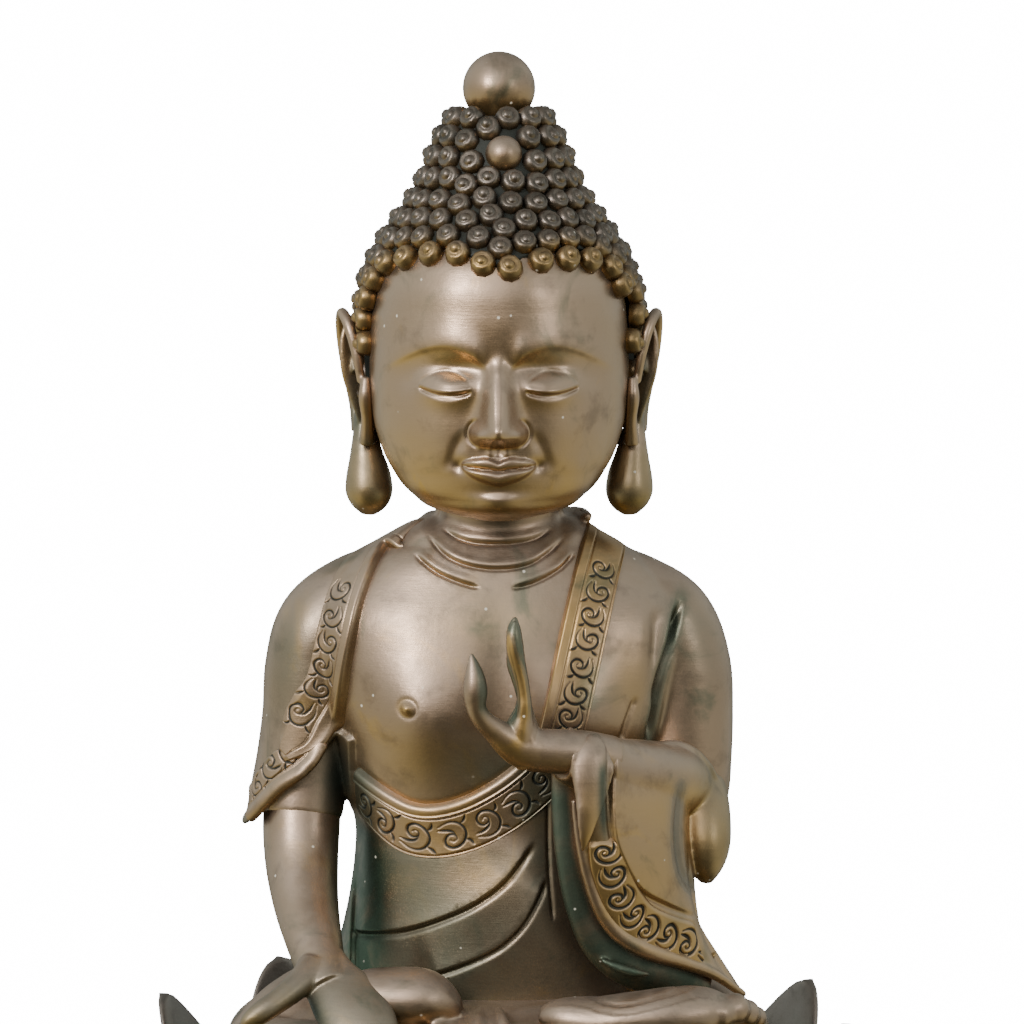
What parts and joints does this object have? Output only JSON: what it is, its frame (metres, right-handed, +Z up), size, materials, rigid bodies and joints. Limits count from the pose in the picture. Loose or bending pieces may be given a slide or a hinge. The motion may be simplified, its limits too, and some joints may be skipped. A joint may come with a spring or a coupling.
{
  "type": "seated buddha statue",
  "caption": "Cast bronze Buddha seated in lotus posture on an oval lotus plinth, left hand raised, right hand lowered, with a robe that has scrolled borders.",
  "frame": {"origin": "under the middle of the plinth, on the surface that the statue stands on", "axes": "+Z up, the figure looks along -Y, +X is to the right of someone who faces it"},
  "size_m": [0.218, 0.1828, 0.3987],
  "materials": {
    "bronze": "brown patinated cast bronze, rubbed golden on the high places and green-black in the hollows",
    "dark_bronze": "dark grey-brown patinated cast bronze, smooth"
  },
  "bodies": {
    "root": {"lotus_plinth": "dark_bronze", "buddha_figure": "bronze"}
  },
  "joints": []
}
